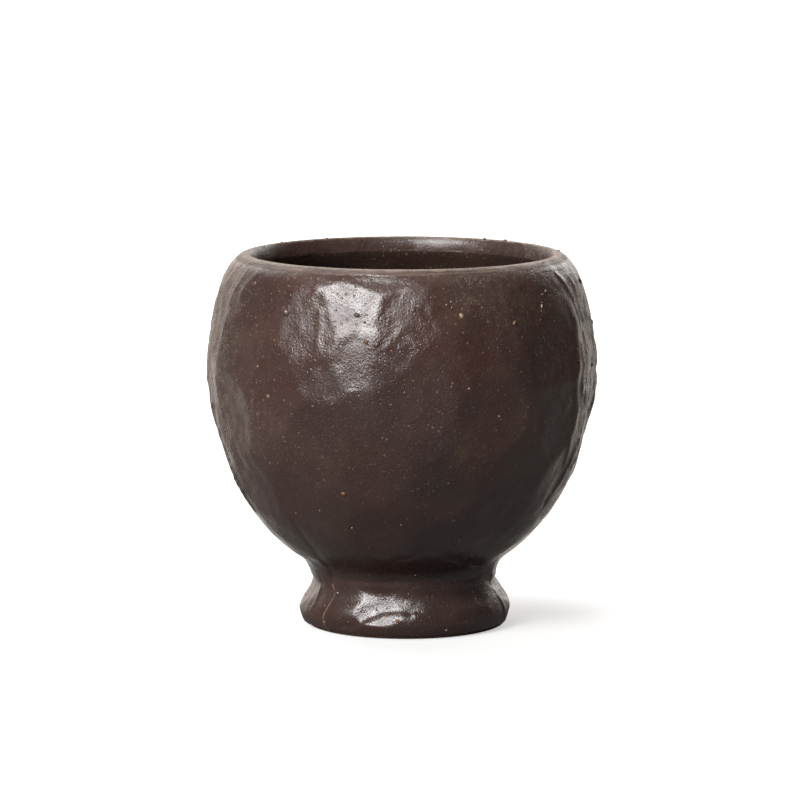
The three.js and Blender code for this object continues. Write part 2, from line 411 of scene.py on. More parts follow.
# %% Spin the slip of the seam
SLIP_LIFT = Vector((0, 0.15 * MM))  # keeps the slip off the table
seam_edge, seam_flare = inset(whole_edge, -0.04 * MM), inset(flare, -0.05 * MM)
seam_start = Vector((STAND_INNER, 0)) + SLIP_LIFT
seam_edge[0] = seam_edge[0] + SLIP_LIFT
seam_section = (
    line(seam_start, seam_edge[0])
    + [seam_edge]
    + line(seam_edge[3], seam_flare[0])
    + cut_evenly(seam_flare, 3)
    + line(seam_flare[3], seat_outer, seat_inner, ring_top, stand_edge, seam_start)
)
seam_section = [part for part in seam_section if (part[3] - part[0]).length > 0.001 * MM]
seam_slip = spin_section(draw_section("seam_slip", seam_section), 3, SEAM_TURN)
close_ends()
print("seam:", count_faces(seam_slip), "triangles")

# %% [markdown]
# ## The slip in the joint
#
# Slip also holds the ring to the bowl. Outside it fills the waist under the glaze, and inside the foot it was
# squeezed out to a small bead that was left as it was.

# %% Spin the slip of the joint
BEAD_INNER = RING_INNER - 1.7 * MM
slip_top = cut_curve(inset(underside, GLAZE), place_on(underside, 0, BEAD_INNER))[1]
slip_top = cut_curve(slip_top, 0.98)[0]
slip_waist = inset(waist, UNDER_COAT)
bead = [slip_top[0], slip_top[0] + Vector((0.4, -0.35)) * MM, ring_top + Vector((-0.5, 0.9)) * MM, ring_top]
slip_section = (
    cut_evenly(bead, 2)
    + line(ring_top, seat_inner, seat_outer, slip_waist[0])
    + [slip_waist]
    + line(slip_waist[3], slip_top[3])
    + [slip_top[::-1]]
)
joint_slip = spin_section(draw_section("luting_slip_bead", slip_section), 120)
print("joint slip:", count_faces(joint_slip), "triangles")

# %% [markdown]
# ## Where the paddle struck
#
# A paddle beats the wall into many small flats. Each flat is a plane that cuts a little off the round wall, so it is
# given by where it is, how wide it is and how it leans. The front ones are placed to catch the light as on the real
# cup, and the rest go round the back with a seeded scatter, which is the same in every run.

# %% Places of the flats
# Azimuth from the front in degrees, height in mm, reach in mm, and how much the flat turns and tilts, in degrees.
FRONT_FLATS = [
    (-16.2, 77.6, 9, 0, 0), (-7.5, 84.2, 8.6, 0, 0), (2, 75.8, 8.3, -2, 0), (-14.5, 67, 7.7, 0, 2),
    (-29.5, 73.5, 9.2, 1.5, 0), (-26.5, 65, 8, 0, 0), (-3, 67.1, 7.3, 0, 0), (-48, 77, 8.5, 0, 0),
    (-41, 59, 9, 0, 0), (-54, 67, 8.5, 0, 0), (-62, 50, 9, 0, 2), (-28, 47, 9, 0, 0),
    (15, 79, 6.5, 0, 0), (27, 71, 8, 0, 0), (44, 77, 7.5, 0, 0), (54, 66, 8.5, -2, 0),
    (57, 52, 8.5, -4, 0), (4, 59, 9, 0, 0), (28, 54, 9, 0, 0), (42, 41, 8, 0, 0),
    (-8, 43, 8, 0, 0), (14, 37, 8, 0, 0), (-37, 33, 8, 0, 0), (-58, 35, 8, 0, 0),
    (38, 30, 8, 0, 0), (-10, 27, 7, 0, 0), (62, 36, 7, 0, 0), (76, 73, 8, 0, 0),
    (78, 58, 8, 0, 0), (-76, 73, 8, 0, 0), (-80, 58, 8, 0, 0), (-82, 42, 8, 0, 0),
    (84, 46, 9, 0, 0), (14, 24, 6, 0, 0), (-72, 82, 6, 0, 0), (98, 66, 7, 0, 0),
    (100, 52, 7, 0, 0), (-98, 66, 7, 0, 0),
]
FOOT_FLATS = [
    (84, 8, 7, 0, 8), (88, 3.2, 6, 0, -10), (-86, 2.8, 5, 0, -6), (-80, 7.5, 6, 0, 6), (-16, 9, 5, 0, 0),
    (22, 6, 5, 0, 0), (130, 6, 6, 0, 0), (190, 5, 6, 0, 0), (-125, 6, 6, 0, 0),
]
BACK_FLATS = 34
GOLDEN = 0.618034  # turning by this share of the back each time spreads the flats evenly
scatter = np.random.default_rng(11)
back_flats = []
for k in range(BACK_FLATS):
    azimuth = 96 + 168 * ((k * GOLDEN) % 1) + scatter.uniform(-4, 4)
    up = 25 + 56 * (k + 0.5) / BACK_FLATS + scatter.uniform(-2, 2)
    back_flats.append((azimuth, up, scatter.uniform(6.5, 9), 0, 0))
print(len(FRONT_FLATS) + len(FOOT_FLATS) + len(back_flats), "flats")

# %% [markdown]
# ## Pressing the flats
#
# Each point of the wall is pushed in to the deepest plane in front of it. A plain maximum would leave knife edges
# between the flats, so a soft maximum rounds them a little. The flats run out below the lip, which was wiped, and at
# the waist, which was smoothed with slip.

# %% How deep a flat is
outline = [
    cut_curve(part, k / 40)[0][3] for part in (whole_edge, flare, waist, bowl_wall, shoulder) for k in range(41)
]
OUTLINE_HEIGHTS = np.array([point.y for point in outline])
OUTLINE_RADII = np.array([point.x for point in outline])
SOFT_EDGE = 0.045 * MM  # how much the edge of a flat is rounded


def wall_radius(height):
    return np.interp(height, OUTLINE_HEIGHTS, OUTLINE_RADII)


def wall_lean(height):
    """How much the wall faces upwards at a height, in radians."""
    step = 1.5 * MM
    return np.arctan2(wall_radius(height - step) - wall_radius(height + step), 2 * step)


def flats_depth(points, flats):
    """How far the paddle has pushed each point in."""
    angle, height = np.arctan2(points[:, 0], -points[:, 1]), points[:, 2]
    radius = wall_radius(height)
    pressed = np.ones(len(points))
    for azimuth, up, reach, turn, tilt in flats:
        middle, centre_height = math.radians(azimuth), up * MM
        facing, lean = middle + math.radians(turn), wall_lean(centre_height) + math.radians(tilt)
        centre = wall_radius(centre_height) - (reach * MM) ** 2 / (2 * BELLY_RADIUS)
        swing = np.cos(angle - facing)
        plane = centre * math.cos(middle - facing) * math.cos(lean) + (centre_height - height) * math.sin(lean)
        plane = plane / (math.cos(lean) * np.maximum(swing, 0.2))
        near = (swing > 0.6) & (np.abs(height - centre_height) < 2.2 * reach * MM)
        pressed += np.where(near, np.exp(np.clip((radius - plane) / SOFT_EDGE, -40, 40)), 0)
    return SOFT_EDGE * np.log(pressed)


print(f"at the shoulder, 77 mm up, the wall leans {math.degrees(wall_lean(77 * MM)):.0f} degrees")

# %% Press them
PRESSED_SKIN = 2.6 * MM  # points further in than this are the inside of a piece, and stay


def get_points(piece):
    points = np.empty(3 * len(piece.data.vertices))
    piece.data.vertices.foreach_get("co", points)
    return points.reshape(-1, 3)


def put_points(piece, points):
    piece.data.vertices.foreach_set("co", points.ravel())
    piece.data.update()


def fade(value, start, end):
    """Rises smoothly from 0 at the start to 1 at the end."""
    share = np.clip((value - start) / (end - start), 0, 1)
    return share * share * (3 - 2 * share)


def push_in(points, depth):
    """Moves points towards the axis."""
    radius = np.hypot(points[:, 0], points[:, 1])
    points[:, :2] *= (1 - depth / np.maximum(radius, 1e-6))[:, None]


def press_flats(points):
    height = points[:, 2]
    wall_share = fade(height, waist_top.y, waist_top.y + 6 * MM) * (1 - fade(height, 83.2 * MM, 86.4 * MM))
    foot_share = fade(height, 0.2 * MM, 1.2 * MM) * (1 - fade(height, 9 * MM, 12 * MM))
    depth = flats_depth(points, FRONT_FLATS + back_flats) * wall_share
    depth = depth + flats_depth(points, FOOT_FLATS) * foot_share
    outside = np.hypot(points[:, 0], points[:, 1]) > wall_radius(height) - PRESSED_SKIN
    push_in(points, np.where(outside, depth, 0))
    return depth.max()


for piece in (outer_coat, bowl_body):
    points = get_points(piece)
    deepest = press_flats(points)
    put_points(piece, points)
    print(f"{piece.name}: deepest flat {1000 * deepest:.2f} mm")

# %% [markdown]
# ## Creases drawn from the cup
#
# The skin of the clay tore and folded as the bowl was beaten round, mostly on its flanks and where it was joined to
# the foot. In Sculpt Mode this would be the Crease brush, drawn along a path. Here each stroke is a list of places,
# and it moves the points near it in or out with a soft falloff. A torn one is soft on one side only.

# %% Strokes that are placed one by one
# A path of azimuths and heights, the width and depth in mm (a negative depth is a ridge), and whether it is torn.
CREASES = [
    ([(-44.7, 27), (-44, 21), (-46.9, 16), (-50, 12.5)], 0.5, 0.30, True),
    ([(-44, 12.6), (-30, 12.9), (-10, 13.1), (10, 13.3), (30, 13.2), (50, 12.8)], 0.7, 0.3, True),
    ([(-100, 2.6), (-84, 2.4), (-70, 2.8)], 3.0, -0.7, False),
    ([(1, 19.4), (3.6, 19.7), (7, 20.8), (10.4, 21.3), (13, 21)], 0.4, 0.22, True),
    ([(22, 19.3), (24.5, 18.8), (34, 17.5), (46.4, 16)], 0.4, 0.25, True),
    ([(-34, 2.4), (-31, 2.8), (-20.4, 5.2), (-14.9, 6.2), (-4.8, 7), (2, 6.4)], 0.8, 0.5, True),
    ([(49.6, 78.6), (49, 77.8), (46.8, 75.3), (45.6, 72.7)], 0.45, -0.15, False),
    ([(-27.4, 82.6), (-28.4, 81), (-29.8, 79.2)], 0.75, -0.28, False),
    ([(-25.8, 77), (-25.2, 74.5), (-26, 72), (-25.4, 69.5)], 0.7, -0.2, False),
    ([(-25.5, 76.3), (-21.6, 72.8), (-18.9, 75.2), (-16, 75.7)], 0.5, 0.09, False),
    ([(-9.5, 74.4), (-11.1, 73.6), (-14.1, 72.2), (-16.9, 70.2)], 0.55, 0.12, True),
    ([(-8.1, 80.8), (-9.8, 78.9), (-11.6, 75.9), (-12.7, 74)], 0.55, 0.13, False),
    ([(-1.3, 81.4), (-3.9, 78.6), (-6.3, 76.4)], 0.8, 0.07, False),
    ([(0.4, 74.3), (-2.3, 71.6), (-5, 69.4)], 0.6, -0.2, False),
    ([(-56.5, 83.6), (-59, 81.5), (-60.5, 78.8)], 0.6, -0.26, False),
    ([(-63, 83), (-65.5, 80), (-67, 76.5)], 0.6, -0.26, False),
    ([(62, 84), (65, 81), (68, 77), (69, 72)], 0.55, -0.28, False),
    ([(70, 82.5), (73, 78), (75, 72)], 0.55, -0.28, False),
    ([(4, 83), (8, 80.5), (7, 77), (10, 74.5)], 0.7, 0.12, False),
    ([(71, 12.5), (69.4, 7.7), (69.6, 2.5)], 0.6, -0.25, False),
    ([(-66, 11.5), (-63, 7), (-64, 2.5)], 0.6, -0.2, False),
    ([(-82, 52), (-80, 44), (-77, 36), (-72, 28)], 0.5, -0.4, False),
    ([(-77, 47), (-75, 40), (-71, 32)], 0.45, -0.32, False),
    ([(63, 64), (61.5, 58), (63.5, 52), (62, 46), (65, 40)], 0.42, -0.3, True),
    ([(71, 54), (72.5, 48), (70, 42), (68, 36), (64, 31)], 0.45, -0.36, True),
    ([(78, 52), (76, 45), (73, 38)], 0.45, -0.34, False),
]
print(len(CREASES), "creases")

# %% [markdown]
# ## Wrinkles and dents that are scattered
#
# Many more folds run down both flanks, some softer ones cross the back, and shallow dents lie all over. None of them
# matters by itself, so they are drawn from one seeded scatter instead of being placed.

# %% Seeded wrinkles and dents
wrinkles = np.random.default_rng(23)
strokes = []
for k in range(22):
    azimuth = wrinkles.uniform(62, 94) if k < 11 else -wrinkles.uniform(60, 92)
    top, run = wrinkles.uniform(52, 84), wrinkles.uniform(9, 24)
    path = []
    for step in range(6):
        path.append((azimuth + wrinkles.uniform(-1.1, 1.1), max(top - run * step / 5, 22)))
        azimuth += wrinkles.uniform(-1.6, 1.2)
    deep = wrinkles.choice([-1, 1], p=[0.55, 0.45]) * wrinkles.uniform(0.12, 0.28)
    strokes.append((path, wrinkles.uniform(0.45, 0.75), deep, bool(wrinkles.uniform() < 0.5)))
for k in range(26):
    azimuth, top, run = wrinkles.uniform(95, 265), wrinkles.uniform(30, 82), wrinkles.uniform(6, 16)
    path = [(azimuth + wrinkles.uniform(-3, 3), top - run * step / 4) for step in range(5)]
    path = [((a + 180) % 360 - 180, h) for a, h in path]
    if max(a for a, h in path) - min(a for a, h in path) < 90:  # not one that crosses the back's middle line
        strokes.append((path, wrinkles.uniform(0.5, 0.9), wrinkles.uniform(-0.16, 0.16), False))
dents = []  # azimuth, height, width and depth
for k in range(260):
    place = wrinkles.uniform(-180, 180), wrinkles.uniform(20, 84)
    dents.append((*place, wrinkles.uniform(0.6, 1.7), wrinkles.uniform(-0.07, 0.13)))
print(len(strokes), "scattered strokes and", len(dents), "dents")

# %% Draw the strokes and dents on the outer coat
DEGREE = math.radians(1)


def places(points):
    """Azimuth from the front in degrees, height in mm, and how many mm one degree is there."""
    around = DEGREE * 1000 * np.hypot(points[:, 0], points[:, 1])
    return np.degrees(np.arctan2(points[:, 0], -points[:, 1])), 1000 * points[:, 2], around


def stroke_depth(points, path, width, depth, torn):
    """A groove (or a ridge, where depth is negative) along a path of azimuths and heights."""
    angle, height, around = places(points)
    nearest = np.full(len(points), 1e9)
    side = np.zeros(len(points))
    for (a0, h0), (a1, h1) in zip(path, path[1:]):
        x, y = (angle - a0) * around, height - h0
        dx, dy = (a1 - a0) * around, np.full(len(points), h1 - h0)
        share = np.clip((x * dx + y * dy) / np.maximum(dx * dx + dy * dy, 1e-9), 0, 1)
        away = np.hypot(x - share * dx, y - share * dy)
        closer = away < nearest
        nearest = np.where(closer, away, nearest)
        side = np.where(closer, dx * y - dy * x, side)
    reach = np.where((side > 0) & torn, 3.5 * width, width)
    return depth * MM * np.exp(-((nearest / reach) ** 2))


def off_azimuth(angle, azimuth):
    """Degrees from an azimuth, the shorter way round."""
    return (angle - azimuth + 180) % 360 - 180


points = get_points(outer_coat)
depth = np.zeros(len(points))
for path, width, deep, torn in CREASES + strokes:
    depth += stroke_depth(points, path, width, deep, torn)
angle, height, _ = places(points)
for azimuth, up, width, deep in dents:
    across = DEGREE * 1000 * BELLY_RADIUS * off_azimuth(angle, azimuth)
    near = (np.abs(across) < 3 * width) & (np.abs(height - up) < 3 * width)
    depth[near] += deep * MM * np.exp(-(across[near] ** 2 + (height[near] - up) ** 2) / width**2)
push_in(points, depth * (1 - fade(points[:, 2], 83.5 * MM, 85.5 * MM)))
put_points(outer_coat, points)
print(f"deepest stroke {1000 * depth.max():.2f} mm, highest ridge {-1000 * depth.min():.2f} mm")

# %% [markdown]
# ## Lumps
#
# Between the flats the clay stays lumpy, the flanks are folded, and the lip alone is wiped smooth. A Displace
# modifier with a soft noise gives that, and a vertex group says where it acts and how much. Once applied, it is
# plain mesh.

# %% Lumps on the outer coat


def pick(piece):
    """Selects one piece alone and makes it active, as a click on it does."""
    bpy.ops.object.select_all(action="DESELECT")
    bpy.context.view_layer.objects.active = piece
    piece.select_set(True)


def weigh(piece, name, share):
    """A vertex group from a share between 0 and 1 for each point."""
    group = piece.vertex_groups.new(name=name)
    for level in range(1, 11):
        chosen = np.where(np.abs(share - level / 10) <= 0.05)[0]
        group.add([int(k) for k in chosen], level / 10, "REPLACE")
    return name


def displace(piece, name, size, strength, group):
    pick(piece)
    texture = bpy.data.textures.new(name, "CLOUDS")
    texture.noise_scale = size
    texture.noise_depth = 2
    bpy.ops.object.modifier_add(type="DISPLACE")
    modifier = piece.modifiers[-1]
    modifier.texture = texture
    modifier.texture_coords = "LOCAL"
    modifier.strength = strength
    modifier.mid_level = 0.5
    modifier.vertex_group = group
    bpy.ops.object.modifier_apply(modifier=modifier.name)


LUMP, FOLD = 0.5 * MM, 0.34 * MM  # from the lowest to the highest point
height = get_points(outer_coat)[:, 2]
below_lip = 1 - 0.85 * fade(height, 83 * MM, 85.5 * MM)
lumpy = weigh(outer_coat, "lumpy", fade(height, 1.5 * MM, 4 * MM) * below_lip)
displace(outer_coat, "hand_lumps", 8 * MM, LUMP, lumpy)
displace(outer_coat, "small_lumps", 2.4 * MM, 0.09 * MM, lumpy)

points = get_points(outer_coat)
aside = np.abs(places(points)[0])
below_lip = 1 - 0.85 * fade(points[:, 2], 83.5 * MM, 85.5 * MM)
folded = fade(aside, 46, 66) * (1 - 0.5 * fade(aside, 100, 130)) * fade(points[:, 2], 22 * MM, 32 * MM)
flanks = weigh(outer_coat, "flanks", folded * below_lip)
displace(outer_coat, "flank_folds", 3.4 * MM, FOLD, flanks)
print(f"lumps move the outer coat by up to {500 * LUMP:.2f} mm, and its flanks by {500 * FOLD:.2f} mm more")

# %% Lumps inside and underneath
height = get_points(inner_coat)[:, 2]
inside = weigh(inner_coat, "inside", 1 - fade(height, THROAT_HEIGHT - 7 * MM, THROAT_HEIGHT - 1 * MM))
displace(inner_coat, "inside_lumps", 12 * MM, 0.35 * MM, inside)
for piece in (bowl_body, foot_ring, joint_slip):
    height = get_points(piece)[:, 2]
    if piece is bowl_body:
        share = 1 - fade(height, waist_top.y - 6 * MM, waist_top.y - 4 * MM)
    else:
        share = fade(height, 0.2 * MM, 1.5 * MM)
    displace(piece, piece.name + "_lumps", 3.5 * MM, 0.22 * MM, weigh(piece, "bare", share))
    print(piece.name, "is lumpy where it is bare")

# %% [markdown]
# ## Where the glaze is thin
#
# On the flanks, along the lip and in some patches the glaze stayed thin and fired dry and pale. Where that is belongs
# to this cup, so it is painted on the points of the coat, as in Vertex Paint. The glaze's material reads it later.
# Two
# patches are also a painted sheen: the one on the left flank at 55 mm and the one on the right of the foot are paler
# where the glaze reflects the pale room.

# %% Paint the dry glaze
# Azimuth in degrees, height, width and rise in mm, and strength.
# The patches at -54 degrees, 55 mm and at 84 degrees, 7 mm also stand for a sheen: a painted reflection.
DRY_AND_SHEEN_PATCHES = [
    (24, 84.3, 8, 1.5, 0.75), (38, 78, 10, 6, 0.42), (25, 80, 8, 4, 0.4), (12, 85.2, 6, 1.0, 0.6),
    (38, 84.6, 6, 1.0, 0.5), (-38, 84.5, 7, 1.3, 0.5), (-30, 79, 2, 2.5, 0.35), (-56, 47, 8, 5, 0.4),
    (-44, 52, 7, 4, 0.4), (-54, 55, 6, 4.5, 0.7), (84, 7, 6, 4, 0.9), (-82, 7, 5, 4, 0.8),
    (-64, 4, 3, 3, 0.35), (-72, 84.2, 9, 2.2, 0.95), (74, 84.4, 8, 2.2, 0.9), (60, 85, 7, 1.2, 0.7),
]
for k in range(16):
    place = scatter.uniform(100, 260) - 360 * (k % 2), scatter.uniform(26, 84)
    spread = scatter.uniform(4, 9), scatter.uniform(4, 10)
    DRY_AND_SHEEN_PATCHES.append((*place, *spread, scatter.uniform(0.25, 0.45)))

angle, height, around = places(get_points(outer_coat))
dryness_and_sheen = np.maximum(0.8 * fade(angle, 60, 72), 0.7 * fade(-angle, 54, 68)) * fade(height, 20, 32)
dryness_and_sheen *= 1 - 0.8 * fade(np.abs(angle), 105, 140)
for azimuth, up, wide, tall, strength in DRY_AND_SHEEN_PATCHES:
    across = around * off_azimuth(angle, azimuth)
    dryness_and_sheen = np.maximum(dryness_and_sheen, strength * np.exp(-((across / wide) ** 2) - ((height - up) / tall) ** 2))
painted = outer_coat.data.attributes.new("dry", "FLOAT", "POINT")
painted.data.foreach_set("value", dryness_and_sheen)
print(f"{len(DRY_AND_SHEEN_PATCHES)} dry patches, {100 * np.mean(dryness_and_sheen > 0.4):.0f} % of the coat's points are dry")

# %% [markdown]
# ## Setting the foot
#
# The ring is turned until its seam is where the cup has it, at the front left. The ends of the strip were cut on a
# slant, so the seam runs sideways as it goes in, and its outer line wanders. Then the whole foot moves a millimetre
# to one side, because the potter set it by eye.

# %% Turn the ring to its seam
SEAM_AZIMUTH = math.radians(-51.5)
SEAM_SLANT = math.tan(math.radians(28))
WANDER_HEIGHTS = np.array([0, 3.2, 5.5, 8.9, 12.3, 14]) * MM
WANDER = np.radians([0.0, 0.0, 1.8, 1.7, -4.0, -7.0])


def start_at(piece, azimuth):
    """Turns a spun piece so that it starts at an azimuth."""
    pick(piece)
    bpy.ops.object.mode_set(mode="EDIT")
    bpy.ops.mesh.select_all(action="SELECT")
    bpy.ops.transform.rotate(value=-(azimuth - math.pi / 2), orient_axis="Z", center_override=(0, 0, 0))
    bpy.ops.object.mode_set(mode="OBJECT")


def turn_points(points, turn):
    """Turns each point about the axis by its own angle."""
    radius = np.hypot(points[:, 0], points[:, 1])
    turned = np.arctan2(points[:, 1], points[:, 0]) + turn
    points[:, 0], points[:, 1] = radius * np.cos(turned), radius * np.sin(turned)


for piece, azimuth in ((foot_ring, SEAM_AZIMUTH + SEAM_TURN / 2), (seam_slip, SEAM_AZIMUTH - SEAM_TURN / 2)):
    start_at(piece, azimuth)
    points = get_points(piece)
    radius = np.hypot(points[:, 0], points[:, 1])
    turn_points(points, SEAM_SLANT * (FOOT_RADIUS - radius) / np.maximum(radius, 1e-6))
    if piece is foot_ring:
        press_flats(points)
    else:
        turn_points(points, np.interp(points[:, 2], WANDER_HEIGHTS, WANDER))
    put_points(piece, points)
    print(f"{piece.name} starts {math.degrees(azimuth):.1f} degrees from the front")

# %% Move the foot to one side


def foot_shift(height):
    return FOOT_SET * (1 - fade(height, 0.5 * NECK_HEIGHT, waist_top.y))


for piece in (outer_coat, foot_ring, seam_slip, joint_slip, bowl_body):
    points = get_points(piece)
    points[:, 0] += foot_shift(points[:, 2])
    put_points(piece, points)
print(f"foot set {1000 * FOOT_SET:.1f} mm to the right, and the bowl not at all above {1000 * waist_top.y:.1f} mm")

# %% [markdown]
# ## Standing in for the frame's nodes
#
# Each piece now takes the place of its CAD node and rides on the cup's one body. The CAD nodes stay in the frame for
# their collision shapes, and only stop showing.

# %% Tie the pieces to the frame
for piece, node, slot in (
    (outer_coat, "outer_glaze", "brown_glaze"),
    (inner_coat, "liner_glaze", "inner_glaze"),
    (bowl_body, "bowl", "bowl_clay"),
    (foot_ring, "foot_ring", "ring_clay"),
    (joint_slip, "luting_slip", "joint_slip"),
    (seam_slip, "foot_seam", "seam_slip"),
):
    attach(piece, "root")
    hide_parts(node)
    print(piece.name, "stands for", node)

# %% [markdown]
# ## Grog
#
# The clay holds grog: crushed fired clay, mostly in grains of half a millimetre. Some push through the glaze as pale
# or rusty pips, and a few larger ones lie under it as low warts. A particle system could scatter them, but a list
# can put the ones that show where the real cup has them. The rest are scattered.

# %% Places of the grains
WART = 0.05  # the tone of a grain that the glaze covers
# Azimuth in degrees, height and radius in mm, tone from dark (0) over rust to cream (1), and how long a chip is.
GRAINS = [
    (-13.9, 76.8, 0.75, 0.1), (-10.6, 71.2, 0.6, 0.35), (-2.9, 69.1, 0.45, 0.2), (-38.3, 76.7, 1.5, WART),
    (18.4, 76.7, 0.65, 0.75), (36, 74.4, 0.6, 0.45), (-4.7, 4.6, 0.6, 0.55), (3.7, 78.1, 0.9, WART),
    (-7.3, 70.5, 1.0, WART), (-7.9, 82.5, 0.5, 0.25), (83.1, 80.4, 0.7, 0.1), (87.6, 70.6, 0.6, 0.3),
    (79.9, 61.4, 0.6, 0.3), (-43, 57.4, 0.5, 0.65), (-19.2, 36.1, 0.6, 0.5), (-51, 2.6, 0.4, 0.5),
    (52, 80.5, 0.4, 0.7), (-55, 82, 0.5, 0.4), (-47, 64, 0.4, 0.6), (48.5, 77.3, 0.22, 0.95, 2.4),
    (48.9, 78.1, 0.13, 0.8, 1.6), (47.9, 76.3, 0.14, 0.85, 1.4), (46.8, 74.4, 0.17, 0.5, 1.7),
]
for k in range(150):
    place = scatter.uniform(-180, 180), scatter.uniform(20, 85)
    GRAINS.append((*place, scatter.uniform(0.1, 0.26), scatter.uniform(0, 1) ** 1.6))
for k in range(26):
    place = scatter.uniform(-180, 180), scatter.uniform(2, 16)
    GRAINS.append((*place, scatter.uniform(0.16, 0.3), scatter.uniform(0, 1)))
# On top of the lip: azimuth in degrees, distance from the axis and radius in mm, and tone.
CROWN_GRAINS = [
    (146.6, 35.6, 0.5, 0.1), (137, 35.8, 0.55, 0.15), (97, 36.6, 0.6, 0.3),
    (-128, 35.9, 0.45, 0.5), (-150, 35.5, 0.4, 0.3), (60, 37, 0.4, 0.6),
]
print(len(GRAINS), "grains on the wall and", len(CROWN_GRAINS), "on the lip")

# %% [markdown]
# ## One grain, copied
#
# One pebble is modelled from an icosphere, dented by a wave. Each copy has its own mesh, so that it can have its own
# size, turn and tone. A ray towards the axis, or down on the lip, finds the glaze and the way it faces.

# %% Model one grain
bpy.ops.object.select_all(action="DESELECT")
bpy.ops.mesh.primitive_ico_sphere_add(subdivisions=2, radius=1)
pebble = bpy.context.object
points = get_points(pebble)
points *= 1 + 0.14 * np.sin(3.1 * points[:, [1]] + 2 * points[:, [2]])
put_points(pebble, points)
bpy.ops.object.shade_smooth()
print("one grain:", count_faces(pebble), "triangles")

# %% Set each copy into the glaze
FLATTENED = 0.62
skin = BVHTree.FromObject(outer_coat, bpy.context.evaluated_depsgraph_get())
copies = []


def set_grain(place, normal, radius, tone, length=None):
    """A copy of the pebble at a place, lying flat. A chip has a length and lies upright, the others turn freely."""
    grain = pebble.copy()
    grain.data = pebble.data.copy()
    bpy.context.collection.objects.link(grain)
    long = length if length else scatter.uniform(0.8, 1.0)
    turn = -0.2 if length else scatter.uniform(0, 6.28)
    sunk = (0.4 if tone == WART else 0.18) * radius * MM
    shape = get_points(grain) * np.array([1, long, FLATTENED]) * radius * MM
    spun = np.array([[math.cos(turn), -math.sin(turn), 0], [math.sin(turn), math.cos(turn), 0], [0, 0, 1]])
    upright = np.array(normal.to_track_quat("Z", "Y").to_matrix())
    put_points(grain, shape @ spun.T @ upright.T + np.array(place - normal * sunk))
    shade = grain.data.attributes.new("tone", "FLOAT", "POINT")
    shade.data.foreach_set("value", np.full(len(grain.data.vertices), tone))
    copies.append(grain)


def towards(azimuth):
    return Vector((math.sin(math.radians(azimuth)), -math.cos(math.radians(azimuth)), 0))


for azimuth, up, *grain in GRAINS:
    axis = Vector((foot_shift(up * MM), 0, up * MM))
    place, normal, _, _ = skin.ray_cast(axis + 0.08 * towards(azimuth), -towards(azimuth))
    if place:
        set_grain(place, normal, *grain)
for azimuth, out, *grain in CROWN_GRAINS:
    place, normal, _, _ = skin.ray_cast(out * MM * towards(azimuth) + Vector((0, 0, 0.2)), Vector((0, 0, -1)))
    if place:
        set_grain(place, normal, *grain)
print(len(copies), "grains set")

# %% Join them to one piece
pick(copies[0])
for grain in copies:
    grain.select_set(True)
bpy.ops.object.join()
grog = bpy.context.object
bpy.data.objects.remove(pebble)
grog.name = grog.data.name = "grog_grains"
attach(grog, "root")
print("grog:", count_faces(grog), "triangles")

# %% [markdown]
# ## Mottling of the iron
#
# The glaze is full of iron. It is olive brown where it is thinner and plum brown where it is thicker, and the clay
# under it is uneven in the same way. So the mottling is a node group, built once. It gives only masks, and each
# material says what share of them it takes and keeps its own shader. The short helpers first: each adds one node.

# %% Node helpers and the mottling group


def add_node(tree, kind, inputs=None, **settings):
    """Adds a node. An input that is given a socket is linked to it, and any other value is set."""
    made = tree.nodes.new(kind)
    for name, value in settings.items():
        setattr(made, name, value)
    for name, value in (inputs or {}).items():
        if isinstance(value, bpy.types.NodeSocket):
            tree.links.new(value, made.inputs[name])
        else:
            made.inputs[name].default_value = value
    return made


def noise(tree, where, scale, detail=2.0, rough=0.5):
    inputs = {"Vector": where, "Scale": scale, "Detail": detail, "Roughness": rough}
    return add_node(tree, "ShaderNodeTexNoise", inputs).outputs["Fac"]


def remap(tree, value, low, high, to_low=0.0, to_high=1.0):
    inputs = {"Value": value, "From Min": low, "From Max": high, "To Min": to_low, "To Max": to_high}
    return add_node(tree, "ShaderNodeMapRange", inputs, interpolation_type="SMOOTHSTEP").outputs["Result"]


def maths(tree, operation, a, b=0.0, c=0.0):
    return add_node(tree, "ShaderNodeMath", {0: a, 1: b, 2: c}, operation=operation).outputs["Value"]


def times(tree, a, b):
    return maths(tree, "MULTIPLY", a, b)


def plus(tree, base, extra, share):
    """The base, and a share of something more."""
    return maths(tree, "MULTIPLY_ADD", extra, share, base)


def new_group(name, shares, masks):
    """A node group with named inputs and outputs. Gives both, and where on the piece a point is."""
    group = bpy.data.node_groups.new(name, "ShaderNodeTree")
    for share in shares:
        group.interface.new_socket(share, in_out="INPUT", socket_type="NodeSocketFloat").default_value = 1.0
    for mask in masks:
        group.interface.new_socket(mask, in_out="OUTPUT", socket_type="NodeSocketFloat")
    taken, given = group.nodes.new("NodeGroupInput").outputs, group.nodes.new("NodeGroupOutput").inputs
    return group, taken, given, add_node(group, "ShaderNodeTexCoord").outputs["Object"]


mottling, taken, given, where = new_group("iron_mottling", ("Olive share", "Plum share"), ("Olive", "Plum"))
olive_mask = remap(mottling, noise(mottling, where, 75, 4, 0.6), 0.42, 0.64)
plum_mask = remap(mottling, noise(mottling, where, 34, 3, 0.55), 0.45, 0.62)
mottling.links.new(times(mottling, olive_mask, taken["Olive share"]), given["Olive"])
mottling.links.new(times(mottling, plum_mask, taken["Plum share"]), given["Plum"])
print("group", mottling.name, "with", len(mottling.nodes), "nodes")
